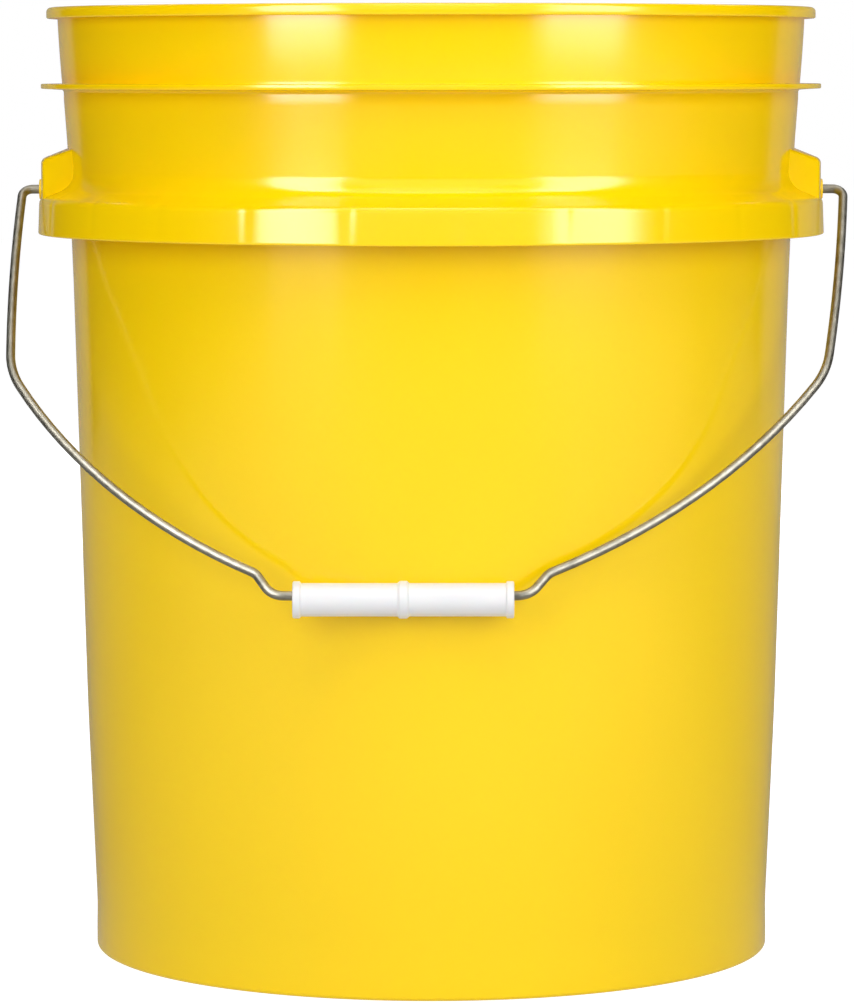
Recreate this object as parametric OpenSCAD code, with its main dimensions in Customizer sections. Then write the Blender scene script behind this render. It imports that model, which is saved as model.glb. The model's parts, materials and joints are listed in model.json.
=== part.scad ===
// Wash bucket: a moulded pail with a rim, a lid-stop rib and a skirt with two ears,
// a swinging wire bail, and a roll grip that turns on the wire.
// Millimetres, +Z up, origin on the floor under the pail's axis. The bail hangs to the front, -Y.

/* [Pail] */
// Height over the rim
total_h = 368.3; // [350:0.1:390]
// Outside radius at the foot
base_r = 132.3; // [128:0.1:134]
// Outside radius of the wall behind the skirt
skirt_wall_r = 140.6; // [138:0.1:142]
// Outside radius of the wall just under the rim
neck_r = 145.5; // [144:0.1:147]
// Wall thickness
wall_t = 2.2; // [1.8:0.1:2.8]
// Height of the floor's underside above the ground
floor_z = 5; // [4:0.5:8]

/* [Rim and rib] */
// Outside radius of the rim
rim_r = 149.9; // [148.5:0.1:151.5]
// Height of the rim band
rim_h = 4.3; // [3.5:0.1:6]
// Distance of the lid-stop rib below the top
rib_drop = 29.5; // [24:0.5:32]
// Outside radius of the lid-stop rib
rib_r = 152.2; // [150:0.1:153]
// Thickness of the rib at its edge
rib_t = 1.9; // [1.4:0.1:2.6]

/* [Skirt and ears] */
// Outside radius of the skirt at its top
skirt_r = 153.1; // [152:0.1:154]
// Distance of the skirt's top face below the top of the pail
skirt_drop = 74.2; // [70:0.1:80]
// Height of the skirt's face
skirt_h = 13.6; // [10:0.1:18]
// Slope of the shoulder above the skirt, in degrees
shoulder_tilt = 26; // [20:1:32]
// Number of places for webs between the wall and the skirt, of which each ear takes two
web_places = 24; // [12:4:36]
// Outside radius of the ears
ear_r = 152.3; // [151.5:0.1:153]
// Width of an ear's outer face
ear_w = 48; // [40:1:52]
// Height of an ear's outer edge above the pivot
ear_rise = 12; // [10:0.5:14]

/* [Bail and grip] */
// Wire diameter
wire_d = 3.5; // [3:0.1:4]
// Distance of the pivot below the top of the pail
pivot_drop = 70.7; // [69:0.1:72]
// Distance from the pail's axis to where the bail's ends turn down
pivot_reach = 156.7; // [156:0.1:159]
// Distance from the pivot to the wire inside the grip
bail_reach = 204.2; // [200:0.1:212]
// Sideways sway of the hanging bail, in degrees
bail_sway = 3.4; // [-3.4:0.1:3.4]
// Sideways play of the bail in the ears
bail_play = 0.6; // [-0.8:0.1:0.8]
// Half the length of the straight wire that holds the grip
seat_half = 45; // [42:0.5:47]
// Grip length
grip_l = 81; // [74:0.5:82]
// Grip barrel diameter
grip_d = 12.2; // [11:0.1:14]
// Grip bore
grip_bore = 6.6; // [6:0.1:7]

/* [Hidden] */
$fn = 96;

// Heights, from the floor
rim_z = total_h - rim_h;
rib_z = total_h - rib_drop - rib_t;
skirt_z = total_h - skirt_drop;
pivot_z = total_h - pivot_drop;

// Outside of the wall, as height and radius: foot band, lower cone, upper cone, neck
knee_z = 95;
knee_r = base_r + (skirt_wall_r - base_r) * 0.37;
outer_wall = [
    [0, base_r], [9, base_r], [17, base_r - 0.2], [knee_z, knee_r], [skirt_z - 10, skirt_wall_r],
    [skirt_z + 22, neck_r - 3.4], [rib_z, neck_r - 1.9], [rib_z + rib_t, neck_r - 1.5], [rim_z - 2, neck_r],
    [total_h, neck_r + 0.4]
];
function wall_r(z) = lookup(z, outer_wall);
function inner_r(z) = wall_r(z) - wall_t;

// Points of an arc in the section plane
function arc(c, r, from, to, n = 6) =
    [for (i = [0:n]) c + r * [cos(from + (to - from) * i / n), sin(from + (to - from) * i / n)]];

// Shoulder: a hollow fillet on the wall, then a slope out to the skirt
fillet_r = 9.4;
fillet_c = [wall_r(skirt_z + 11) + fillet_r, skirt_z + 11.5];
slope_from = fillet_c - fillet_r * [sin(shoulder_tilt), cos(shoulder_tilt)];
function slope_z(r) = slope_from[1] - (r - slope_from[0]) * tan(shoulder_tilt);
edge_r = 3;
edge_c = [skirt_r - edge_r, slope_z(skirt_r - edge_r * (1 - sin(shoulder_tilt))) - edge_r * cos(shoulder_tilt)];
skirt_low_z = skirt_z - skirt_h;
skirt_flare = 0.5;
shoulder_t = wall_t / cos(shoulder_tilt);

// Ears
ear_wall = 2.4;
ear_draft = 30;
ear_top = pivot_z + ear_rise;
ear_slope = 4.5;
boss_r = 4;
boss_proud = 1.1;
hole_r = wire_d / 2 + 0.5;

// Foot and ribs under the floor
floor_t = 2.4;
foot_w = 2.6;
floor_ribs = 12;
floor_rib_t = 1.8;
floor_rib_gap = 2;
hub_r = 24;
ring_r = 78;

// Bail: bends and the wire's course, as distance from the pivot and angle from straight down
end_bend = 4;
hook_bend = 3;
hook_tail = 4;
hook_x = 149;
kink_angle = 32.5;
arm_angle = 62;
seat_bend = 8.5;
kink_bend = 7;
kink_drop = 5;
seat_from = bail_reach - seat_bend * (1 - sin(kink_angle));
kink_to = seat_from - kink_drop;
kink_from = kink_to - kink_bend * (sin(arm_angle) - sin(kink_angle));
course = [[end_bend, 0.9], [86.5, 5.8], [102.7, 31], [kink_from, arm_angle], [kink_to, kink_angle],
          [seat_from, kink_angle], [bail_reach, 90]];
last = len(course) - 1;
wire_sides = 16;
// Largest turn, in degrees, and largest drop between two rings of the wire's sweep
ring_step = 6;
ring_gap = 8;
// Length of pivot that the bent wire covers
socket = 1;

// Angle of the wire at a station of one half once the bail sways; side is 1 on the right, -1 on the left
function swayed(angle, side) = angle == 90 ? 90 : atan(tan(angle) + side * tan(bail_sway));
// The centreline between two stations as an arc, or a straight line where the angle stays the same
function stretch(i, from, side) =
    let (a = swayed(course[i][1], side), b = swayed(course[i + 1][1], side), drop = course[i + 1][0] + from[1])
    a == b ? [from - [drop * tan(a), drop]] :
    let (r = drop / (sin(b) - sin(a)), c = from + r * [-cos(a), sin(a)],
         n = max(ceil(abs(b - a) / ring_step), ceil(drop / ring_gap)))
    [for (k = [1:n]) let (t = a + (b - a) * k / n) c + r * [cos(t), -sin(t)]];
// The centreline of one half in the bail's plane, drawn on +X, from station i down to the grip's seat
function half_course(i, from, side) =
    i == last ? [] :
    let (run = stretch(i, from, side))
    concat(run, half_course(i + 1, run[len(run) - 1], side));
function half_centreline(side) =
    let (lean = swayed(course[0][1], side), c = [pivot_reach, -end_bend],
         bend = [for (k = [0:12]) let (t = 90 - (90 + lean) * k / 12) c + end_bend * [cos(t), sin(t)]])
    concat([[pivot_reach - socket, 0]], bend, half_course(0, bend[12], side));
right_half = half_centreline(1);
left_half = [for (p = half_centreline(-1)) [-p[0], p[1]]];
seat_left = left_half[len(left_half) - 1][0];
seat_right = right_half[len(right_half) - 1][0];
centreline = concat(left_half, [for (i = [len(right_half) - 1:-1:0]) right_half[i]]);

// Grip: it hangs on the wire by the top of its bore, and touches the front wall at rest
flange_d = grip_d + 1.4;
flange_w = 2.6;
nub_d = grip_d + 1.6;
nub_w = 4.8;
grip_drop = (grip_bore - wire_d) / 2 - 0.1;
grip_x = (seat_left + seat_right) / 2 + bail_play + 1.1;
rest_gap = 0.3;
// Angle between the bail and straight down, from the contact with the wall, found by repetition
function rest_angle(a = 45, turns = 12) =
    turns == 0 ? a :
    let (z = pivot_z - bail_reach * cos(a) - grip_drop, r = wall_r(z))
    rest_angle(asin((sqrt(r * r - grip_x * grip_x) + nub_d / 2 + rest_gap) / bail_reach), turns - 1);
hang = rest_angle();

// The pail's wall and floor
module vessel() {
    foot_edge = 1.6;
    corner = 5;
    floor_top = floor_z + floor_t;
    outside = [for (s = outer_wall) if (s[0] > foot_edge) [s[1], s[0]]];
    inside = [for (i = [len(outer_wall) - 1:-1:3]) [outer_wall[i][1] - wall_t, outer_wall[i][0]]];
    inner_corner = [inner_r(floor_top + corner) - corner, floor_top + corner];
    rotate_extrude()
        polygon(concat(
            [[0, floor_z], [base_r - foot_w, floor_z], [base_r - foot_w, 0.5], [base_r - foot_w + 0.5, 0]],
            arc([base_r - foot_edge, foot_edge], foot_edge, -90, 0, 4),
            outside, inside,
            arc(inner_corner, corner, 0, -90),
            [[0, floor_top]]));
}

// Ribs and rings that stiffen the floor from below
module floor_stiffening() {
    rib_h = floor_z - floor_rib_gap + 0.5;
    translate([0, 0, floor_rib_gap]) {
        for (i = [0:floor_ribs - 1])
            rotate([0, 0, (i + 0.5) * 360 / floor_ribs])
                translate([hub_r - 1, -floor_rib_t / 2, 0])
                    cube([base_r - foot_w - hub_r + 2, floor_rib_t, rib_h]);
        for (r = [hub_r, ring_r])
            difference() {
                cylinder(r = r, h = rib_h);
                translate([0, 0, -1])
                    cylinder(r = r - floor_rib_t, h = rib_h + 2);
            }
    }
}

// Rim: a lip turned outwards and down, with a groove behind it
module rim() {
    band = 2.2;
    top_edge = 1.3;
    root = neck_r - wall_t + 0.2;
    rotate_extrude()
        polygon(concat(
            [[root, rim_z - 2], [neck_r, rim_z - 2], [neck_r + 0.1, rim_z + rim_h - band],
             [rim_r - band, rim_z + rim_h - band], [rim_r - band, rim_z + 0.4], [rim_r - band + 0.4, rim_z],
             [rim_r - 0.4, rim_z], [rim_r, rim_z + 0.4]],
            arc([rim_r - top_edge, total_h - top_edge], top_edge, 0, 90),
            arc([root + top_edge, total_h - top_edge], top_edge, 90, 180)));
}

// Rib that stops the lid
module lid_rib() {
    root = wall_r(rib_z) - 1;
    taper = 0.5;
    rotate_extrude()
        polygon([[root, rib_z - taper], [rib_r - 0.4, rib_z], [rib_r, rib_z + 0.4],
                 [rib_r, rib_z + rib_t - 0.4], [rib_r - 0.4, rib_z + rib_t], [root, rib_z + rib_t + taper]]);
}

// Shoulder and skirt, open underneath
module skirt() {
    root = wall_r(skirt_z) - 1;
    inner = skirt_r - wall_t + 0.2;
    rotate_extrude()
        polygon(concat(
            [[root, fillet_c[1]]],
            arc(fillet_c, fillet_r, 180, 270 - shoulder_tilt),
            arc(edge_c, edge_r, 90 - shoulder_tilt, 0),
            [[skirt_r + skirt_flare, skirt_low_z + 0.5], [skirt_r + skirt_flare - 0.5, skirt_low_z],
             [inner + skirt_flare, skirt_low_z], [inner, slope_z(inner) - shoulder_t],
             [root, slope_z(root) - shoulder_t]]));
}

// Webs between the wall and the skirt, left out at the ears
module webs() {
    web_t = 1.8;
    web_up = 3;
    web_in = wall_r(skirt_low_z) - 1;
    web_out = skirt_r - wall_t + 0.7;
    intersection() {
        rotate_extrude()
            polygon([[web_in, skirt_low_z + web_up], [web_out, skirt_low_z + web_up],
                     [web_out, slope_z(web_out) - 1], [web_in, slope_z(web_in) - 1]]);
        for (i = [0:web_places - 1]) {
            turn = (i + 0.25) * 360 / web_places;
            if (web_in * abs(sin(turn)) > ear_w / 2 + 8)
                rotate([0, 0, turn])
                    translate([web_in - 2, -web_t / 2, skirt_low_z])
                        cube([web_out - web_in + 4, web_t, 2 * skirt_h]);
        }
    }
}

// Plan of an ear, grown outwards by t; its sides are drafted
module ear_plan(t) {
    near = wall_r(pivot_z) - 12;
    far = ear_r + 4;
    half = ear_w / 2 + t;
    polygon([[near, half + (ear_r - near) * tan(ear_draft)], [far, half + (ear_r - far) * tan(ear_draft)],
             [far, -half - (ear_r - far) * tan(ear_draft)], [near, -half - (ear_r - near) * tan(ear_draft)]]);
}

// One ear's block, on +X, with a sloping roof and a boss around the wire's hole
module ear_block() {
    root = wall_r(pivot_z) - 1;
    ear_low = skirt_low_z + 2;
    intersection() {
        rotate_extrude()
            polygon(concat(
                [[root, ear_low], [ear_r, ear_low]],
                arc([ear_r - 2, ear_top - 1.4], 2, 0, 68),
                [[root, ear_top + ear_slope]]));
        linear_extrude(ear_top + 10)
            ear_plan(0);
    }
    translate([ear_r - 2, 0, pivot_z])
        rotate([0, 90, 0])
            cylinder(r = boss_r, h = 2 + boss_proud);
}

// The hollow behind one ear, open below
module ear_hollow() {
    roof_in = ear_top + ear_slope - ear_wall;
    ear_in = ear_r - ear_wall;
    intersection() {
        rotate_extrude()
            polygon([[wall_r(skirt_low_z), skirt_low_z - 1], [ear_in, skirt_low_z - 1], [ear_in, ear_top - ear_wall],
                     [wall_r(roof_in), roof_in]]);
        linear_extrude(ear_top + 10)
            ear_plan(-ear_wall);
    }
}

module wire_hole() {
    translate([ear_r - ear_wall - 2, 0, pivot_z])
        rotate([0, 90, 0])
            cylinder(r = hole_r, h = ear_wall + 8);
}

module bucket_shell() {
    color("gold") {
        difference() {
            union() {
                vessel();
                rim();
                lid_rib();
                skirt();
                webs();
                floor_stiffening();
                for (side = [0, 180])
                    rotate([0, 0, side])
                        ear_block();
            }
            for (side = [0, 180])
                rotate([0, 0, side]) {
                    ear_hollow();
                    wire_hole();
                }
        }
    }
}

// Wire along the centreline: a ring of points square to it at each of its points
module bent_wire() {
    n = len(centreline);
    // The flats of the ring lie just outside the pivot's round face
    r = wire_d / 2 / cos(180 / wire_sides) + 0.002;
    function along(i) =
        let (d = centreline[min(i + 1, n - 1)] - centreline[max(i - 1, 0)]) d / norm(d);
    points = [for (i = [0:n - 1]) for (k = [0:wire_sides - 1])
        let (p = centreline[i], d = along(i), t = 360 * k / wire_sides)
        [p[0] - d[1] * r * cos(t), r * sin(t), p[1] + d[0] * r * cos(t)]];
    sides = [for (i = [0:n - 2]) for (k = [0:wire_sides - 1])
        let (a = i * wire_sides + k, b = i * wire_sides + (k + 1) % wire_sides)
        [a, b, b + wire_sides, a + wire_sides]];
    caps = [[for (k = [wire_sides - 1:-1:0]) k], [for (k = [0:wire_sides - 1]) (n - 1) * wire_sides + k]];
    polyhedron(points, concat(sides, caps));
}

// One end of the bail, drawn on +X: the pivot, which turns in the ear's hole, and the hook inside the ear
module bail_end() {
    translate([hook_x, 0, 0])
        rotate([0, 90, 0])
            cylinder(d = wire_d, h = pivot_reach - hook_x - socket / 2);
    translate([hook_x, 0, hook_bend])
        rotate([90, 0, 0])
            rotate([0, 0, 180])
                rotate_extrude(angle = 90)
                    translate([hook_bend, 0])
                        circle(d = wire_d);
    translate([hook_x - hook_bend, 0, hook_bend])
        cylinder(d = wire_d, h = hook_tail);
}

module wire_bail() {
    color("slategray")
        translate([bail_play, 0, pivot_z])
            rotate([-hang, 0, 0]) {
                bent_wire();
                bail_end();
                mirror([1, 0, 0])
                    bail_end();
            }
}

module grip() {
    half = grip_l / 2;
    edge = 0.6;
    color("white")
        translate([grip_x, -bail_reach * sin(hang), pivot_z - bail_reach * cos(hang) - grip_drop])
            rotate([0, 90, 0])
                rotate_extrude()
                    polygon([[grip_bore / 2, -half + edge], [grip_bore / 2 + edge, -half],
                             [flange_d / 2 - edge, -half], [flange_d / 2, -half + edge],
                             [flange_d / 2, -half + flange_w], [grip_d / 2, -half + flange_w + 0.4],
                             [grip_d / 2, -nub_w / 2 - 0.6], [nub_d / 2, -nub_w / 2 + 0.6],
                             [nub_d / 2, nub_w / 2 - 0.6], [grip_d / 2, nub_w / 2 + 0.6],
                             [grip_d / 2, half - flange_w - 0.4], [flange_d / 2, half - flange_w],
                             [flange_d / 2, half - edge], [flange_d / 2 - edge, half],
                             [grip_bore / 2 + edge, half], [grip_bore / 2, half - edge]]);
}

bucket_shell();
wire_bail();
grip();
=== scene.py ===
"""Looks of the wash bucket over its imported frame, in the CAD's own axes: the bail hangs to the front, -Y."""

import json
import math

import bmesh
import bpy
from mathutils import Matrix, Vector


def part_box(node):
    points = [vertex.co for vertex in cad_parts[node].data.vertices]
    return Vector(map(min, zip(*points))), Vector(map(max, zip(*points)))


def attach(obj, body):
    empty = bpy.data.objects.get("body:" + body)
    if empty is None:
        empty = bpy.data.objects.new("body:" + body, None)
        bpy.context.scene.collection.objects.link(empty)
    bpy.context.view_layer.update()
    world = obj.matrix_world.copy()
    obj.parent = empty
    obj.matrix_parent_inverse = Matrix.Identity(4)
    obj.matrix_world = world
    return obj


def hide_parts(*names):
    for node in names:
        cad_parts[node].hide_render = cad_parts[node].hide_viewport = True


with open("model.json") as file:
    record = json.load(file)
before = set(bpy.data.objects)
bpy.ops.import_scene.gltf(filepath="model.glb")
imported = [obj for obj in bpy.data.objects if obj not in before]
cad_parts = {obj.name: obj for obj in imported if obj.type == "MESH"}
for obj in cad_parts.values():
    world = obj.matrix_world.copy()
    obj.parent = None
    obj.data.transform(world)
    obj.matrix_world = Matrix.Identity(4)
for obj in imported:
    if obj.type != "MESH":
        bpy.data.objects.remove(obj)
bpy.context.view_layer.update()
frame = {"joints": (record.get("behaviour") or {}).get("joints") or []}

MM = 0.001
JOINTS = {joint["name"]: joint for joint in frame["joints"]}
SHELL_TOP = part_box("bucket_shell")[1].z

# Pail, in millimetres as on a drawing; the mesh code turns them into metres. EAR_SPREAD is how far each side
# of an ear moves out for each millimetre towards the wall, and at EAR_ROOF_R its roof has risen by EAR_SLOPE
TOTAL_H = SHELL_TOP / MM
PIVOT_Z = JOINTS["bail_swing"]["pos_m"][2] / MM
BASE_R = 132.3
NECK_R = 145.5
SKIRT_WALL_R = 140.6
WALL_T = 2.2
KNEE_Z = 95.0
FOOT_W = 2.6
FLOOR_Z = 5.0
FLOOR_T = 2.4
FLOOR_RIBS = 12
FLOOR_RIB_T = 1.8
FLOOR_RIB_GAP = 2.0
HUB_R = 24.0
RING_R = 78.0
RIM_R = 149.9
RIM_H = 4.3
RIM_Z = TOTAL_H - RIM_H
RIB_R = 152.2
RIB_T = 1.9
RIB_Z = TOTAL_H - 29.5 - RIB_T
SKIRT_R = 153.1
SKIRT_FLARE = 0.5
SKIRT_Z = TOTAL_H - 74.2
SKIRT_LOW_Z = SKIRT_Z - 13.6
SHOULDER_TILT = math.radians(26.0)
FILLET_R = 9.4
EDGE_R = 3.0
EAR_R = 152.3
EAR_W = 48.0
EAR_SPREAD = math.tan(math.radians(30.0))
EAR_LOW_Z = SKIRT_Z - 1.2
EAR_TOP = PIVOT_Z + 12.0
EAR_SLOPE = 4.5
EAR_ROOF_R = 141.0
EAR_WALL = 2.4
BOSS_R = 4.0
BOSS_PROUD = 1.1
HOLE_R = 2.25
WEB_PLACES = 24
WEB_T = 1.8
WEB_LOW_Z = SKIRT_LOW_Z + 3

# Bail and grip, in millimetres
WIRE_D = 3.5
BAIL_PLAY = 0.6
BAIL_SWAY = 3.4
BAIL_REACH = 204.2
PIVOT_REACH = 156.7
END_BEND = 4.0
SEAT_BEND = 8.5
KINK_BEND = 7.0
KINK_DROP = 5.0
KINK_ANGLE = 32.5
ARM_ANGLE = 62.0
HOOK_X = 149.0
HOOK_BEND = 3.0
HOOK_TAIL = 4.0
GRIP_AT = Vector(JOINTS["grip_spin"]["pos_m"]) / MM
GRIP_L = 81.0
GRIP_D = 12.2
GRIP_BORE = 6.6
HANG = math.asin(-GRIP_AT.y / BAIL_REACH)

# Outside of the wall as height and radius
OUTER_WALL = [
    (0.0, BASE_R),
    (9.0, BASE_R),
    (17.0, BASE_R - 0.2),
    (KNEE_Z, BASE_R + (SKIRT_WALL_R - BASE_R) * 0.37),
    (SKIRT_Z - 10, SKIRT_WALL_R),
    (SKIRT_Z + 22, NECK_R - 3.4),
    (RIB_Z, NECK_R - 1.9),
    (RIB_Z + RIB_T, NECK_R - 1.5),
    (RIM_Z - 2, NECK_R),
    (TOTAL_H, NECK_R + 0.4),
]


def wall_r(z):
    """Outside radius of the wall at a height."""
    for (z0, r0), (z1, r1) in zip(OUTER_WALL, OUTER_WALL[1:]):
        if z <= z1:
            return r0 + (r1 - r0) * (z - z0) / (z1 - z0)
    return OUTER_WALL[-1][1]


def rounded(corners, closed=False, hold=0.0):
    """Points of an outline given as (x, y, radius, steps), with an arc in place of each corner that has a
    radius. With hold, points that far beyond each small arc keep the shading of longer straights flat."""
    small_arc = 20
    arcs = []
    n = len(corners)
    for i, (x, y, radius, steps) in enumerate(corners):
        here = Vector((x, y))
        if radius == 0 or (not closed and i in (0, n - 1)):
            arcs.append([here])
            continue
        to_last = (Vector(corners[i - 1][:2]) - here).normalized()
        to_next = (Vector(corners[(i + 1) % n][:2]) - here).normalized()
        half = to_last.angle(to_next) / 2
        middle = here + (to_last + to_next).normalized() * radius / math.sin(half)
        start = here + to_last * radius / math.tan(half) - middle
        turn = start.angle_signed(here + to_next * radius / math.tan(half) - middle)
        arcs.append([middle + Matrix.Rotation(-turn * k / steps, 2) @ start for k in range(steps + 1)])
    points = []
    for i, arc in enumerate(arcs):
        points += arc
        if hold and i + 1 < n:
            run = arcs[i + 1][0] - arc[-1]
            ends = [(arc[-1], 1, corners[i]), (arcs[i + 1][0], -1, corners[i + 1])]
            points += [end + run.normalized() * way * hold for end, way, corner in ends
                       if run.length > 5 * hold and 0 < corner[2] < small_arc]
    return points


def mesh_object(name, bm, body=None, smooth=30.0):
    """Turns a bmesh in millimetres into an object in metres, smooth but for edges sharper than the angle."""
    bmesh.ops.recalc_face_normals(bm, faces=bm.faces)
    bm.transform(Matrix.Scale(MM, 4))
    mesh = bpy.data.meshes.new(name)
    bm.to_mesh(mesh)
    bm.free()
    mesh.shade_smooth()
    mesh.set_sharp_from_angle(angle=math.radians(smooth))
    obj = bpy.data.objects.new(name, mesh)
    bpy.context.scene.collection.objects.link(obj)
    if body:
        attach(obj, body)
    return obj


def revolve(bm, outline, angles, place):
    """Turns an outline that runs from axis to axis, or round a closed loop, about the axis.
    place(r, z, a) gives the point at a radius, a height and an angle."""
    on_axis = abs(outline[0].x) < 1e-9
    rings = []
    for a in angles:
        rings.append([bm.verts.new(place(p.x, p.y, a)) for p in (outline[1:-1] if on_axis else outline)])
    count = len(rings[0])
    for i, ring in enumerate(rings):
        other = rings[(i + 1) % len(rings)]
        for j in range(count - 1 if on_axis else count):
            bm.faces.new((ring[j], ring[(j + 1) % count], other[(j + 1) % count], other[j]))
    if on_axis:
        for j, p in ((0, outline[0]), (count - 1, outline[-1])):
            pole = bm.verts.new(place(p.x, p.y, 0))
            for i, ring in enumerate(rings):
                bm.faces.new((pole, ring[j], rings[(i + 1) % len(rings)][j]))


def around_z(r, z, a):
    """A point at a radius and height about the pail's axis."""
    return Vector((r * math.cos(a), r * math.sin(a), z))


def full_turn(steps):
    """Equal angles all the way round."""
    return [2 * math.pi * i / steps for i in range(steps)]


def lathe(name, corners, place, steps=48, closed=False):
    """A turned piece of its own."""
    bm = bmesh.new()
    revolve(bm, rounded(corners, closed), full_turn(steps), place)
    return mesh_object(name, bm)


def combine(obj, others, operation):
    """Joins other closed meshes to obj, or cuts them out of it."""
    for other in others:
        modifier = obj.modifiers.new("combine", "BOOLEAN")
        modifier.operation = operation
        modifier.solver = "EXACT"
        modifier.object = other
        bpy.context.view_layer.update()
        made = bpy.data.meshes.new_from_object(obj.evaluated_get(bpy.context.evaluated_depsgraph_get()))
        obj.modifiers.clear()
        obj.data = made
        bpy.data.objects.remove(other)


# Pail

def shoulder_z(r):
    """Height of the shoulder's slope at a radius."""
    middle_r = wall_r(SKIRT_Z + 11) + FILLET_R
    from_r = middle_r - FILLET_R * math.sin(SHOULDER_TILT)
    from_z = SKIRT_Z + 11.5 - FILLET_R * math.cos(SHOULDER_TILT)
    return from_z - (r - from_r) * math.tan(SHOULDER_TILT)


def shell_outline():
    """The pail's section from the middle of the floor's underside, round the outside and the rim, to the
    floor's top. The fillet is tighter than the CAD's, and the wall leaves the CAD's line by about 0.2 mm
    at most near the shoulder, the rib and the neck, so that the highlights run as in the photograph."""
    gentle, long_bend, inner_bend, neck_bend = 150, 1500, 200, 700
    fillet_r = FILLET_R - 1.2
    under = WALL_T / math.cos(SHOULDER_TILT)
    under_from_r = wall_r(298)
    skirt_in = SKIRT_R - WALL_T + 0.2
    band = 2.2
    root = NECK_R - WALL_T + 0.2
    foot_in = BASE_R - FOOT_W
    floor_top = FLOOR_Z + FLOOR_T
    corners = [
        (0, FLOOR_Z, 0, 0), (HUB_R, FLOOR_Z, 0, 0), (RING_R, FLOOR_Z, 0, 0),
        (foot_in, FLOOR_Z, 1.5, 3), (foot_in, 0, 0.6, 2), (BASE_R, 0, 1.6, 5),
        (BASE_R, 9, gentle, 2), (wall_r(17), 17, gentle, 2),
        (wall_r(55), 55, 0, 0), (wall_r(KNEE_Z), KNEE_Z, long_bend, 2),
        (wall_r(150), 150, 0, 0), (wall_r(210), 210, 0, 0), (wall_r(262), 262, 0, 0),
        (under_from_r + 0.05, shoulder_z(under_from_r) - under, 1.0, 3),
        (skirt_in, shoulder_z(skirt_in) - under, 1.0, 3),
        (skirt_in + SKIRT_FLARE, SKIRT_LOW_Z, 0.5, 2),
        (SKIRT_R + SKIRT_FLARE, SKIRT_LOW_Z, 0.6, 3),
        (SKIRT_R, shoulder_z(SKIRT_R), EDGE_R, 8),
        (wall_r(SKIRT_Z + 9) - 0.2, shoulder_z(wall_r(SKIRT_Z + 9)), fillet_r, 14),
        (wall_r(SKIRT_Z + 14) - 0.02, SKIRT_Z + 14, 0, 0), (wall_r(SKIRT_Z + 23), SKIRT_Z + 23, 0, 0),
        (wall_r(RIB_Z - 6), RIB_Z - 6, 0, 0), (wall_r(RIB_Z) - 0.3, RIB_Z - 4, 0, 0),
        (wall_r(RIB_Z) - 0.25, RIB_Z - 0.5, 0.9, 3),
        (RIB_R, RIB_Z, 0.45, 2), (RIB_R, RIB_Z + RIB_T, 0.45, 2),
        (wall_r(RIB_Z + RIB_T) - 0.05, RIB_Z + RIB_T, 0.35, 3),
        (wall_r(RIB_Z + 12) + 0.12, RIB_Z + 12, neck_bend, 5), (NECK_R, RIM_Z - 2, 0, 0),
        (NECK_R + 0.1, TOTAL_H - band, 0.6, 2), (RIM_R - band, TOTAL_H - band, 0.5, 2),
        (RIM_R - band, RIM_Z, 0.4, 2), (RIM_R, RIM_Z, 0.6, 3), (RIM_R, TOTAL_H, 1.8, 6),
        (root, TOTAL_H, 1.3, 6), (root - 0.15, RIM_Z - 2, 0, 0),
    ]
    inside = [
        (RIB_Z + RIB_T, gentle), (SKIRT_Z + 22, inner_bend), (SKIRT_Z - 10, inner_bend),
        (210, 0), (150, 0), (KNEE_Z, long_bend), (55, 0),
    ]
    corners += [(wall_r(z) - WALL_T, z, radius, 2) for z, radius in inside]
    corners.append((wall_r(floor_top) - WALL_T, floor_top, 5.0, 7))
    corners += [(r, floor_top, 0, 0) for r in (96, RING_R, HUB_R, 0)]
    return rounded(corners, hold=0.4)


def web_angles():
    """Places of the webs, as angles from +X, but for those that the ears take."""
    past_ear = 8
    places = [2 * math.pi * (i + 0.25) / WEB_PLACES for i in range(WEB_PLACES)]
    return [a for a in places if wall_r(SKIRT_LOW_Z) * abs(math.sin(a)) > EAR_W / 2 + past_ear]


def from_web(a):
    """Angle between a direction and the nearest web."""
    return min(abs(math.remainder(a - w, 2 * math.pi)) for w in web_angles())


def sink(a, r, z):
    """How far the skirt's face is drawn in behind its webs, where thick plastic has shrunk."""
    full_depth, run_in, spread = 0.2, 3.0, 1.5
    if not SKIRT_LOW_Z < z < SKIRT_Z + 2 or r < SKIRT_R - 3:
        return 0.0
    depth = full_depth * min(1.0, (z - SKIRT_LOW_Z) / run_in)
    return depth * math.exp(-((from_web(a) * r / spread) ** 2) / 2)


def shell_revolve():
    """The pail as a turned shape, without its ears, with closer steps across each web's sink."""
    def place(r, z, a):
        return around_z(r - sink(a, r, z), z, a)

    steps, fine = 240, 4
    close = math.radians(1.6)
    angles = []
    for a in full_turn(steps):
        angles.append(a)
        if from_web(a + math.pi / steps) < close:
            angles += [a + 2 * math.pi / steps * k / fine for k in range(1, fine)]
    bm = bmesh.new()
    revolve(bm, shell_outline(), angles, place)
    return bm


def ear_outline(grow, far, inner, radius):
    """Plan of an ear on +X, from one end on the circle of radius inner, round the outside, to the other
    end. The ends lie on the drafted sides, and are found by repetition."""
    half = EAR_W / 2 + grow
    turn = math.asin((half - (far - EAR_R) * EAR_SPREAD) / far)
    repeats, steps = 8, 8
    end_x = inner
    for _ in range(repeats):
        end_y = half + (EAR_R - end_x) * EAR_SPREAD
        end_x = math.sqrt(inner ** 2 - end_y ** 2)
    face = [(far * math.cos(a), far * math.sin(a), radius if abs(a) == turn else 0, 6)
            for a in [turn * k / steps for k in range(-steps, steps + 1)]]
    return rounded([(end_x, -end_y, 0, 0)] + face + [(end_x, end_y, 0, 0)])


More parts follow.
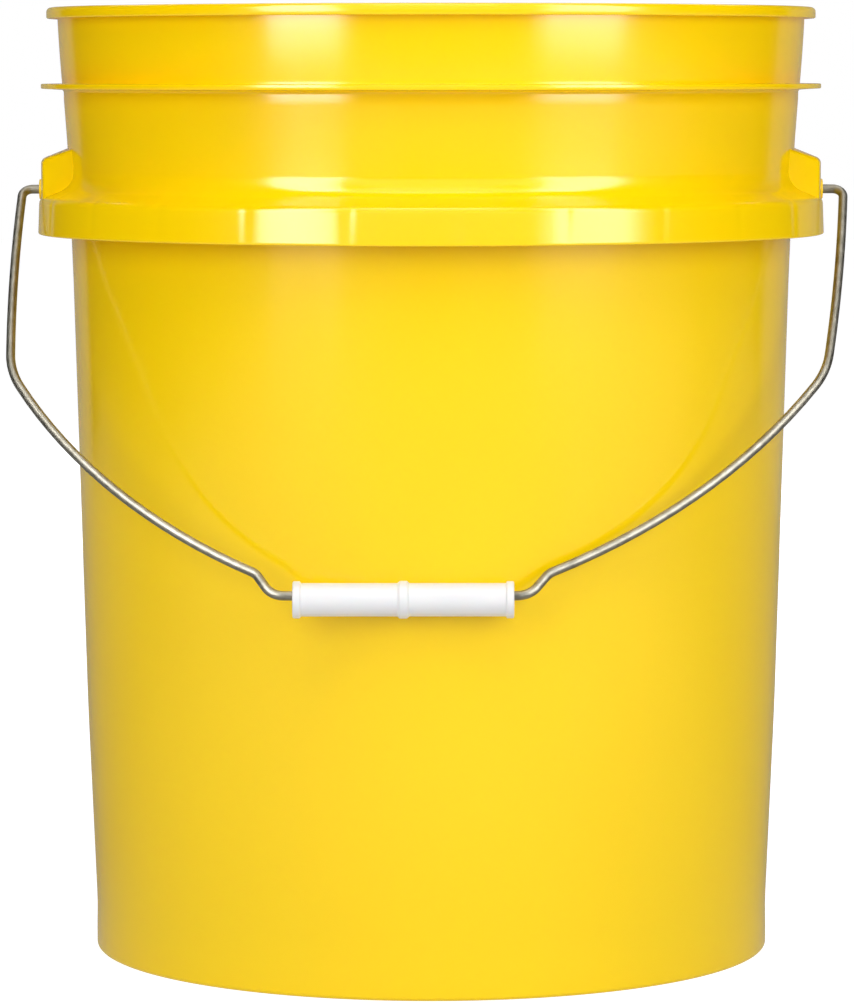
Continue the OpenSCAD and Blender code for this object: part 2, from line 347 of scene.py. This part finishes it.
def ear_solid(name, grow, far, inner, low_z, top_z, corner, edge):
    """A drafted block on +X between the wall and an outer face, with a roof that rises to the wall and a
    rounded upper edge. inner(z) is its inner radius at a height."""
    outline = ear_outline(grow, far, inner(top_z), corner)
    count = len(outline)
    inwards = [Vector((0, 0))]
    for before, after in zip(outline, outline[2:]):
        along = (after - before).normalized()
        inwards.append(Vector((-along.y, along.x)))
    inwards.append(Vector((0, 0)))

    def roof(r):
        return top_z + EAR_SLOPE * (far - r) / (EAR_R - EAR_ROOF_R)

    def ring(height, inset):
        outer = [p + n * inset for p, n in zip(outline, inwards)]
        points = [Vector((q.x, q.y, height(q.length))) for q in outer]
        for p in outline[-2:0:-1]:
            r = inner(low_z if height(0) == low_z else top_z)
            points.append(Vector((p.x, p.y, 0)).normalized() * r + Vector((0, 0, height(r))))
        return [bm.verts.new(p) for p in points]

    steps = 6
    bm = bmesh.new()
    rings = [ring(lambda r: low_z, 0)]
    for k in range(steps + 1):
        t = math.pi / 2 * k / steps
        rings.append(ring(lambda r: roof(r) - edge * (1 - math.sin(t)), edge * (1 - math.cos(t))))
    size = len(rings[0])
    for low, high in zip(rings, rings[1:]):
        for i in range(size):
            bm.faces.new((low[i], low[(i + 1) % size], high[(i + 1) % size], high[i]))
    for cap in (rings[0], rings[-1]):
        bm.faces.new((cap[0], cap[1], cap[-1]))
        for i in range(1, count - 2):
            bm.faces.new((cap[i], cap[i + 1], cap[-1 - i], cap[-i]))
        bm.faces.new((cap[count - 2], cap[count - 1], cap[count]))
    return mesh_object(name, bm)


def across_x(r, x, a):
    """A point at a distance r from the pivot's line."""
    return Vector((x, r * math.sin(a), PIVOT_Z + r * math.cos(a)))


def peg(name, radius, from_x, to_x, edge=0.0):
    """A round bar on the pivot's line, with its outer end rounded by edge."""
    return lathe(name, [(0, from_x, 0, 0), (radius, from_x, 0, 0), (radius, to_x, edge, 4), (0, to_x, 0, 0)],
                 across_x)


def ear_parts(side):
    """One ear's block and boss, and its hollow and hole, on +X or turned to -X."""
    face_in = EAR_R - EAR_WALL
    block = ear_solid("ear_block", 0, EAR_R, lambda z: wall_r(SKIRT_LOW_Z) - 0.5, EAR_LOW_Z, EAR_TOP,
                      corner=2.0, edge=1.6)
    boss = peg("boss", BOSS_R, EAR_R - 2, EAR_R + BOSS_PROUD, edge=0.4)
    hollow = ear_solid("hollow", -EAR_WALL, face_in, lambda z: wall_r(z) - 0.2, WEB_LOW_Z, EAR_TOP - EAR_WALL,
                       corner=1.0, edge=0.6)
    hole = peg("hole", HOLE_R, face_in - 2, EAR_R + BOSS_PROUD + 2)
    if side < 0:
        for part in (block, boss, hollow, hole):
            part.data.transform(Matrix.Rotation(math.pi, 4, "Z"))
    return [block, boss], [hollow, hole]


def build_shell():
    """The moulding: the turned shape with both ears joined on, hollowed and drilled."""
    shell = mesh_object("pail_moulding", shell_revolve())
    for side in (1, -1):
        added, cut = ear_parts(side)
        combine(shell, added, "UNION")
        combine(shell, cut, "DIFFERENCE")
    shell.data.shade_smooth()
    shell.data.set_sharp_from_angle(angle=math.radians(30))
    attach(shell, "pail")
    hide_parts("bucket_shell")
    return shell


def box_between(bm, low_corners, high_corners, edge):
    """A closed box from four lower and four upper corners, with its edges slightly rounded."""
    low = [bm.verts.new(p) for p in low_corners]
    high = [bm.verts.new(p) for p in high_corners]
    faces = [bm.faces.new(low[::-1]), bm.faces.new(high)]
    for i in range(4):
        faces.append(bm.faces.new((low[i], low[(i + 1) % 4], high[(i + 1) % 4], high[i])))
    edges = list({e for f in faces for e in f.edges})
    bmesh.ops.bevel(bm, geom=edges, offset=edge, segments=2, affect="EDGES", profile=0.5)


def build_webs():
    """Webs between the wall and the skirt, and the two closing walls of each ear."""
    bm = bmesh.new()
    in_r = wall_r(SKIRT_LOW_Z) - 1
    out_r = SKIRT_R - WALL_T + 0.7
    runs = [((in_r, a), (out_r, a)) for a in web_angles()]
    for turn in (0, math.pi):
        for side in (1, -1):
            ends = []
            for r in (in_r, out_r):
                a = turn + side * math.asin((EAR_W / 2 - EAR_WALL / 2 + (EAR_R - r + 2) * EAR_SPREAD) / r)
                ends.append((r, a))
            runs.append(ends)
    for inner, outer in runs:
        a, b = around_z(inner[0], 0, inner[1]), around_z(outer[0], 0, outer[1])
        across = Vector((-(b - a).y, (b - a).x, 0)).normalized() * WEB_T / 2
        low = [a - across, b - across, b + across, a + across]
        heights = [shoulder_z(p.xy.length) - 1.2 for p in low]
        box_between(bm, [p + Vector((0, 0, WEB_LOW_Z)) for p in low],
                    [p + Vector((0, 0, h)) for p, h in zip(low, heights)], edge=0.25)
    return mesh_object("skirt_webs", bm, "pail")


def build_floor_ribs():
    """Ribs and rings that stiffen the floor from below, and the gate mark in its middle."""
    low, high = FLOOR_RIB_GAP, FLOOR_Z + 0.3
    near, far, half = HUB_R - 1, BASE_R - FOOT_W + 0.5, FLOOR_RIB_T / 2
    edge = 0.3
    bm = bmesh.new()
    for i in range(FLOOR_RIBS):
        turn = Matrix.Rotation(2 * math.pi * (i + 0.5) / FLOOR_RIBS, 3, "Z")
        plan = [Vector((x, y, 0)) for x, y in ((near, -half), (far, -half), (far, half), (near, half))]
        box_between(bm, [turn @ (p + Vector((0, 0, low))) for p in plan],
                    [turn @ (p + Vector((0, 0, high))) for p in plan], edge)
    for r in (HUB_R, RING_R):
        inner = r - FLOOR_RIB_T
        ring = [(inner, low, edge, 2), (r, low, edge, 2), (r, high, 0, 0), (inner, high, 0, 0)]
        revolve(bm, rounded(ring, closed=True), full_turn(144), around_z)
    gate_low, gate_high = 3.4, FLOOR_Z + 0.2
    gate = [(0, gate_low, 0, 0), (2.6, gate_low, 0.4, 3), (3.2, gate_high, 0, 0), (0, gate_high, 0, 0)]
    revolve(bm, rounded(gate), full_turn(32), around_z)
    return mesh_object("floor_ribs", bm, "pail")


# Bail

def swayed(angle, side):
    """Angle of the wire from straight down on one side once the bail has swayed."""
    if angle == 90:
        return math.radians(90)
    return math.atan(math.tan(math.radians(angle)) + side * math.tan(math.radians(BAIL_SWAY)))


def half_bail(side):
    """Centreline of one half in the bail's plane, from its hook inside the ear to the grip's seat, drawn
    on +X. The course gives the distance from the pivot and the angle from straight down at each station,
    and the wire runs from one to the next as an arc, or straight where the angle stays the same."""
    sin_kink, sin_arm = math.sin(math.radians(KINK_ANGLE)), math.sin(math.radians(ARM_ANGLE))
    seat_from = BAIL_REACH - SEAT_BEND * (1 - sin_kink)
    kink_to = seat_from - KINK_DROP
    kink_from = kink_to - KINK_BEND * (sin_arm - sin_kink)
    course = [(END_BEND, 0.9), (86.5, 5.8), (102.7, 31), (kink_from, ARM_ANGLE), (kink_to, KINK_ANGLE),
              (seat_from, KINK_ANGLE), (BAIL_REACH, 90)]
    points = [Vector((HOOK_X - HOOK_BEND, HOOK_BEND + HOOK_TAIL))]
    for k in range(9):
        t = math.radians(180 + 90 * k / 8)
        points.append(Vector((HOOK_X + HOOK_BEND * math.cos(t), HOOK_BEND + HOOK_BEND * math.sin(t))))
    lean = swayed(course[0][1], side)
    for k in range(17):
        t = math.pi / 2 - (math.pi / 2 + lean) * k / 16
        points.append(Vector((PIVOT_REACH + END_BEND * math.cos(t), -END_BEND + END_BEND * math.sin(t))))
    for (_, angle), (reach, next_angle) in zip(course, course[1:]):
        here = points[-1]
        a, b = swayed(angle, side), swayed(next_angle, side)
        drop = reach + here.y
        if angle == next_angle:
            points.append(here - Vector((drop * math.tan(a), drop)))
            continue
        steps = max(round(math.degrees(abs(b - a)) / 2), round(drop / 6))
        radius = drop / (math.sin(b) - math.sin(a))
        middle = here + radius * Vector((-math.cos(a), math.sin(a)))
        for k in range(1, steps + 1):
            t = a + (b - a) * k / steps
            points.append(middle + radius * Vector((math.cos(t), -math.sin(t))))
    return points


def build_bail():
    """The wire as rings of points along its centreline, swung to where it hangs, with chamfered ends."""
    right = half_bail(1)
    left = [Vector((-p.x, p.y)) for p in half_bail(-1)]
    line = left + right[::-1]
    count = len(line)
    sides = 24
    chamfer = 0.35
    turn = Matrix.Rotation(-HANG, 4, "X")
    shift = Vector((BAIL_PLAY, 0, PIVOT_Z))
    bm = bmesh.new()
    rings = []

    def ring(at, along, radius):
        across = Vector((along.y, 0, -along.x))
        points = []
        for k in range(sides):
            t = 2 * math.pi * k / sides
            p = Vector((at.x, 0, at.y)) + radius * (across * math.cos(t) + Vector((0, 1, 0)) * math.sin(t))
            points.append(bm.verts.new(turn @ p + shift))
        rings.append(points)

    for i, p in enumerate(line):
        along = (line[min(i + 1, count - 1)] - line[max(i - 1, 0)]).normalized()
        if i == 0:
            ring(p, along, WIRE_D / 2 - chamfer)
            ring(p + along * chamfer, along, WIRE_D / 2)
        elif i == count - 1:
            ring(p - along * chamfer, along, WIRE_D / 2)
            ring(p, along, WIRE_D / 2 - chamfer)
        else:
            ring(p, along, WIRE_D / 2)
    for low, high in zip(rings, rings[1:]):
        for k in range(sides):
            bm.faces.new((low[k], low[(k + 1) % sides], high[(k + 1) % sides], high[k]))
    bm.faces.new(rings[0])
    bm.faces.new(rings[-1][::-1])
    bail = mesh_object("bail_wire", bm, "bail", smooth=40)
    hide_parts("wire_bail")
    return bail


# Grip

def build_grip():
    """The grip's tube, as a section of its left half and the same mirrored, turned about the bore."""
    half = GRIP_L / 2
    bore = GRIP_BORE / 2
    barrel = GRIP_D / 2
    flange, flange_w = barrel + 0.7, 2.6
    ring, ring_half = barrel + 0.8, 1.3
    left = [
        (bore, -half, 0.5, 4), (flange, -half, 0.6, 5), (flange, -half + flange_w, 0.4, 4),
        (barrel, -half + flange_w + 0.4, 0.3, 3), (barrel, -20, 0, 0),
        (barrel, -ring_half - 0.9, 0.3, 3), (ring, -ring_half, 0.3, 3),
    ]
    right = [(r, -x, radius, steps) for r, x, radius, steps in reversed(left)]
    corners = left + right + [(bore, 15, 0, 0), (bore, -15, 0, 0)]

    def place(r, x, a):
        return GRIP_AT + Vector((x, r * math.sin(a), r * math.cos(a)))

    grip = lathe("roll_grip", corners, place, steps=64, closed=True)
    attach(grip, "grip")
    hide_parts("grip")
    return grip


# Materials

class Nodes:
    """Short way to build a material's nodes."""

    def __init__(self, name):
        self.material = bpy.data.materials.new(name)
        self.material.use_nodes = True
        self.tree = self.material.node_tree
        self.shader = self.tree.nodes["Principled BSDF"]
        self.at = self.add("ShaderNodeTexCoord").outputs["Object"]

    def add(self, kind, links=None, **values):
        node = self.tree.nodes.new(kind)
        for key, value in values.items():
            if hasattr(node, key):
                setattr(node, key, value)
            else:
                node.inputs[key.replace("_", " ").title()].default_value = value
        for key, source in (links or {}).items():
            self.tree.links.new(source, node.inputs[key])
        return node

    def noise(self, scale, detail=3.0, stretch=None):
        at = self.at
        if stretch:
            mapping = self.add("ShaderNodeMapping", {"Vector": at})
            mapping.inputs["Scale"].default_value = stretch
            at = mapping.outputs["Vector"]
        return self.add("ShaderNodeTexNoise", {"Vector": at}, scale=scale, detail=detail).outputs["Fac"]

    def span(self, value, low, high, out_low, out_high):
        node = self.add("ShaderNodeMapRange", {"Value": value})
        ends = {"From Min": low, "From Max": high, "To Min": out_low, "To Max": out_high}
        for key, number in ends.items():
            node.inputs[key].default_value = number
        return node.outputs["Result"]

    def product(self, first, second):
        return self.math("MULTIPLY", first, second)

    def sum(self, first, second):
        return self.math("ADD", first, second)

    def math(self, operation, first, second):
        node = self.add("ShaderNodeMath", operation=operation)
        for socket, value in zip(node.inputs, (first, second)):
            if isinstance(value, (int, float)):
                socket.default_value = value
            else:
                self.tree.links.new(value, socket)
        return node.outputs["Value"]

    def mix(self, factor, first, second):
        node = self.add("ShaderNodeMix", data_type="RGBA")
        self.tree.links.new(factor, node.inputs["Factor"])
        for key, colour in (("A", first), ("B", second)):
            socket = [s for s in node.inputs if s.name == key and s.type == "RGBA"][0]
            if isinstance(colour, tuple):
                socket.default_value = (*colour, 1)
            else:
                self.tree.links.new(colour, socket)
        return [s for s in node.outputs if s.type == "RGBA"][0]

    def bump(self, height, distance, strength, normal=None):
        links = {"Height": height}
        if normal:
            links["Normal"] = normal
        node = self.add("ShaderNodeBump", links)
        node.inputs["Distance"].default_value = distance
        node.inputs["Strength"].default_value = strength
        return node.outputs["Normal"]

    def drive(self, socket, source):
        self.tree.links.new(source, self.shader.inputs[socket])


def pail_plastic():
    """Glossy yellow polyethylene, slightly cloudy, with upright flow marks and scuffs and a faint wave."""
    deep, plain, pale = (0.93, 0.610, 0.0005), (0.95, 0.625, 0.0008), (0.96, 0.640, 0.001)
    n = Nodes("pail_polyethylene")
    cloud = n.noise(9.0, 2.0)
    flow = n.noise(5.0, 3.0, stretch=(1, 1, 0.25))
    tone = n.mix(n.span(cloud, 0.35, 0.65, 0, 1), deep, plain)
    tone = n.mix(n.span(flow, 0.55, 0.75, 0, 0.35), tone, pale)
    n.drive("Base Color", tone)
    scuffs = n.noise(140.0, 4.0, stretch=(1, 1, 0.08))
    n.drive("Roughness", n.span(scuffs, 0.35, 0.75, 0.135, 0.17))
    wave = n.bump(n.noise(16.0, 1.0), 0.0004, 0.12)
    n.drive("Normal", n.bump(n.noise(1600.0, 2.0), 0.000005, 0.25, wave))
    n.shader.inputs["IOR"].default_value = 1.52
    n.shader.inputs["Subsurface Weight"].default_value = 0.12
    n.shader.inputs["Subsurface Radius"].default_value = (1.0, 0.6, 0.1)
    n.shader.inputs["Subsurface Scale"].default_value = 0.003
    return n.material


def galvanised_steel():
    """Zinc plated wire, dull and slightly warm, with a fine uneven gloss."""
    dark, light = (0.25, 0.235, 0.19), (0.34, 0.32, 0.265)
    n = Nodes("galvanised_wire")
    spangle = n.noise(260.0, 3.0)
    drawn = n.noise(420.0, 2.0)
    n.drive("Base Color", n.mix(n.span(spangle, 0.35, 0.65, 0, 1), dark, light))
    n.drive("Roughness", n.span(drawn, 0.3, 0.7, 0.40, 0.47))
    n.drive("Normal", n.bump(drawn, 0.00002, 0.05))
    n.shader.inputs["Metallic"].default_value = 1.0
    return n.material


def grip_plastic():
    """White polypropylene with a satin gloss."""
    shade, white = (0.70, 0.70, 0.715), (0.74, 0.74, 0.745)
    n = Nodes("grip_polypropylene")
    cloud = n.noise(60.0, 2.0)
    n.drive("Base Color", n.mix(cloud, shade, white))
    n.drive("Roughness", n.span(n.noise(400.0, 3.0, stretch=(0.2, 1, 1)), 0.3, 0.7, 0.34, 0.48))
    n.drive("Normal", n.bump(n.noise(1400.0, 2.0), 0.00003, 0.2))
    n.shader.inputs["Subsurface Weight"].default_value = 0.15
    n.shader.inputs["Subsurface Scale"].default_value = 0.002
    return n.material


# Studio

def staged(obj, material, seen_by):
    """Makes an object a stage piece that only some rays see: camera, glossy, diffuse."""
    obj.data.materials.append(material)
    obj.visible_camera = "camera" in seen_by
    obj.visible_glossy = "glossy" in seen_by
    obj.visible_diffuse = "diffuse" in seen_by
    obj.visible_shadow = False
    return obj


def plane(name, corners, material, seen_by):
    """A flat stage piece with its corners in metres."""
    bm = bmesh.new()
    bm.faces.new([bm.verts.new(Vector(p) / MM) for p in corners])
    return staged(mesh_object(name, bm), material, seen_by)


def sheet(name, x, y, z, material, seen_by):
    """A rectangle of the stage, given by its ranges: level if z is one height, upright if y is one place."""
    (x0, x1), (y0, y1), (z0, z1) = x, y, z
    corners = [(x0, y0, z0), (x1, y0, z0), (x1, y1, z1), (x0, y1, z1)]
    return plane(name, corners, material, seen_by)


def pale_paper():
    """The floor as the camera sees it: a glow with painted shade, dimmer near the pail and white further off,
    and clear from below.
    """
    near, far = 0.2, 0.9
    n = Nodes("floor_paper")
    n.shader.inputs["Base Color"].default_value = (0.5, 0.5, 0.5, 1)
    n.shader.inputs["Roughness"].default_value = 1.0
    n.shader.inputs["Specular IOR Level"].default_value = 0.0
    n.shader.inputs["Emission Color"].default_value = (1, 1, 1, 1)
    distance = n.add("ShaderNodeVectorMath", {"Vector": n.at}, operation="LENGTH").outputs["Value"]
    # painted shade: the floor's glow is dimmer close to the pail's axis, where its shadow would fall, and full
    # white beyond
    n.drive("Emission Strength", n.span(distance, near, far, 0.86, 1.0))
    clear = n.add("ShaderNodeBsdfTransparent")
    side = n.add("ShaderNodeNewGeometry")
    mix = n.add("ShaderNodeMixShader", {"Fac": side.outputs["Backfacing"]})
    n.tree.links.new(n.shader.outputs["BSDF"], mix.inputs[1])
    n.tree.links.new(clear.outputs["BSDF"], mix.inputs[2])
    n.tree.links.new(mix.outputs["Shader"], n.tree.nodes["Material Output"].inputs["Surface"])
    return n.material


def glow(name, strength):
    """A surface that only gives light."""
    material = bpy.data.materials.new(name)
    material.use_nodes = True
    tree = material.node_tree
    emission = tree.nodes.new("ShaderNodeEmission")
    emission.inputs["Strength"].default_value = strength
    tree.links.new(emission.outputs["Emission"], tree.nodes["Material Output"].inputs["Surface"])
    return material


def dome(radius):
    """The white surroundings that the camera sees behind the object."""
    bm = bmesh.new()
    bmesh.ops.create_icosphere(bm, subdivisions=4, radius=radius / MM)
    return staged(mesh_object("surroundings", bm), glow("surroundings_white", 1.0), ["camera"])


def panel(name, azimuth, elevation, distance, width, height, radiance, seen_by, aim=0.2):
    """A rectangular light aimed at a height of the pail's axis. Azimuth 0 is the camera's side, and it
    grows to the right; elevation is above the horizon."""
    data = bpy.data.lights.new(name, "AREA")
    data.shape = "RECTANGLE"
    data.size, data.size_y = width, height
    data.energy = radiance * math.pi * width * height
    light = bpy.data.objects.new(name, data)
    a, e = math.radians(azimuth), math.radians(elevation)
    back = Vector((math.sin(a) * math.cos(e), -math.cos(a) * math.cos(e), math.sin(e)))
    light.location = back * distance + Vector((0, 0, aim))
    light.rotation_euler = (math.radians(90) - e, 0, a)
    light.visible_camera = False
    light.visible_diffuse = "diffuse" in seen_by
    light.visible_glossy = "glossy" in seen_by
    bpy.context.scene.collection.objects.link(light)


def shaded_glow(name, strength, levels, lean=0.0, foot=0.0):
    """Light whose strength is a product of ramps along X, Y or Z, each given as (axis, from, to, level from,
    level to). With lean, X is measured from a line that starts at the foot's height and leans over by so
    much for each metre."""
    n = Nodes(name)
    split = n.add("ShaderNodeSeparateXYZ", {"Vector": n.at})
    axes = {axis: split.outputs[axis] for axis in "XYZ"}
    if lean:
        axes["X"] = n.sum(n.sum(axes["X"], n.product(axes["Z"], -lean)), lean * foot)
    level = strength
    for axis, *ramp in levels:
        level = n.product(n.span(axes[axis], *ramp), level)
    emission = n.add("ShaderNodeEmission")
    n.tree.links.new(level, emission.inputs["Strength"])
    n.tree.links.new(emission.outputs["Emission"], n.tree.nodes["Material Output"].inputs["Surface"])
    return n.material


def softbox(name, azimuth, width, gloss, fill_azimuth, fill_width, fill):
    """An upright softbox that leans outwards and fades towards its edges, seen in reflections, and apart
    from it the panel that gives its light."""
    low, high, away = 0.175, 3.2, 1.5
    mid, full, mid_level = 0.215, 0.34, 0.7
    soft = 0.22
    fill_height, fill_aim = 1.272, 0.814
    lean = math.copysign(0.15, azimuth)
    side, over = width / 2, lean * (high - low)
    levels = [("X", -side, (2 * soft - 1) * side, 0, 1), ("X", (1 - 2 * soft) * side, side, 1, 0),
              ("Z", low, mid, 0, mid_level), ("Z", mid, full, 1, 1 / mid_level)]
    material = shaded_glow(name + "_glow", gloss, levels, lean, low)
    shape = [(-side, 0, low), (side, 0, low), (side + over, 0, high), (over - side, 0, high)]
    box = plane(name + "_gloss", shape, material, ["glossy"])
    box.matrix_world = Matrix.Rotation(math.radians(azimuth), 4, "Z") @ Matrix.Translation((0, -away, 0))
    panel(name + "_fill", fill_azimuth, 0, away, fill_width, fill_height, fill, ["diffuse"], fill_aim)


def build_floor():
    """The floor that the camera sees, and under it those that show in the gloss and give light from below."""
    reach = 8
    seen_z, gloss_z, bounce_z = -0.0002, -0.0004, -0.0006
    lit_x, lit_y = (-1.9, 3.0), (-2.4, 1.6)
    floor = sheet("floor", (-reach, reach), (-reach, reach), (seen_z, seen_z), pale_paper(), ["camera"])
    if floor.data.polygons[0].normal.z < 0:
        floor.data.flip_normals()
    sheet("floor_light", lit_x, lit_y, (gloss_z, gloss_z),
          shaded_glow("floor_glow", 1.0, [("Y", -0.45, 0.15, 0.58, 0.25)]), ["glossy"])
    sheet("floor_bounce", lit_x, lit_y, (bounce_z, bounce_z), glow("bounce_glow", 0.75), ["diffuse"])


def build_room():
    """Pale surfaces round the pail that show in its gloss, and the white that the camera sees behind it."""
    back_y, front_y, ceiling_z, overhead_z = 1.6, -2.6, 2.4, 2.39
    sheet("backdrop_light", (-1.3, 1.9), (back_y, back_y), (0, 1.6),
          shaded_glow("backdrop_glow", 0.3, [("Z", 0.5, 1.3, 1, 0)]), ["glossy", "diffuse"])
    sheet("front_light", (-1.2, 1.6), (front_y, front_y), (0.36, ceiling_z),
          glow("front_glow", 0.6), ["glossy"])
    sheet("ceiling_light", (-0.8, 0.9), (front_y, 2.2), (ceiling_z, ceiling_z),
          glow("ceiling_glow", 0.8), ["glossy"])
    sheet("overhead_light", (-0.45, 0.45), (-0.8, -0.1), (overhead_z, overhead_z),
          glow("overhead_glow", 3.5), ["glossy"])
    dome(12)


def build_studio():
    """Plain floor and pale room, and soft light from both sides, in front, above and behind."""
    build_floor()
    build_room()
    softbox("softbox_left", -36, 0.74, gloss=11.5, fill_azimuth=-41.5, fill_width=0.83, fill=2.95)
    softbox("softbox_right", 44, 0.88, gloss=8.5, fill_azimuth=51, fill_width=0.92, fill=3.25)
    panel("front_fill", 0, 20, distance=2.4, width=2.6, height=1.5, radiance=1.6, seen_by=["diffuse"])
    panel("top_fill", 0, 60, distance=2.2, width=1.4, height=1.0, radiance=4.2, seen_by=["diffuse"])
    panel("back_fill", 180, 30, distance=2.4, width=2.6, height=1.5, radiance=3.4,
          seen_by=["diffuse", "glossy"])
    world = bpy.data.worlds.new("studio")
    world.use_nodes = True
    background = world.node_tree.nodes["Background"]
    background.inputs["Color"].default_value = (1, 1, 1, 1)
    background.inputs["Strength"].default_value = 0.01
    bpy.context.scene.world = world
    bpy.context.scene.view_settings.view_transform = "Standard"


def build_camera():
    """The camera as worked out from the photograph, in front of the pail and looking 5 degrees down."""
    place = (-0.00154, -1.947, 0.3444)
    tilt, roll = math.radians(85.011), math.radians(0.03)
    data = bpy.data.cameras.new("camera")
    data.sensor_width = 36
    data.lens = 177.8
    data.clip_start, data.clip_end = 0.01, 50
    camera = bpy.data.objects.new("camera", data)
    camera.location = place
    camera.rotation_euler = (tilt, roll, 0)
    bpy.context.scene.collection.objects.link(camera)
    bpy.context.scene.camera = camera


def dress(obj, material):
    """Gives a piece its material."""
    obj.data.materials.clear()
    obj.data.materials.append(material)


build_camera()
build_studio()
yellow = pail_plastic()
for piece in (build_shell(), build_webs(), build_floor_ribs()):
    dress(piece, yellow)
dress(build_bail(), galvanised_steel())
dress(build_grip(), grip_plastic())
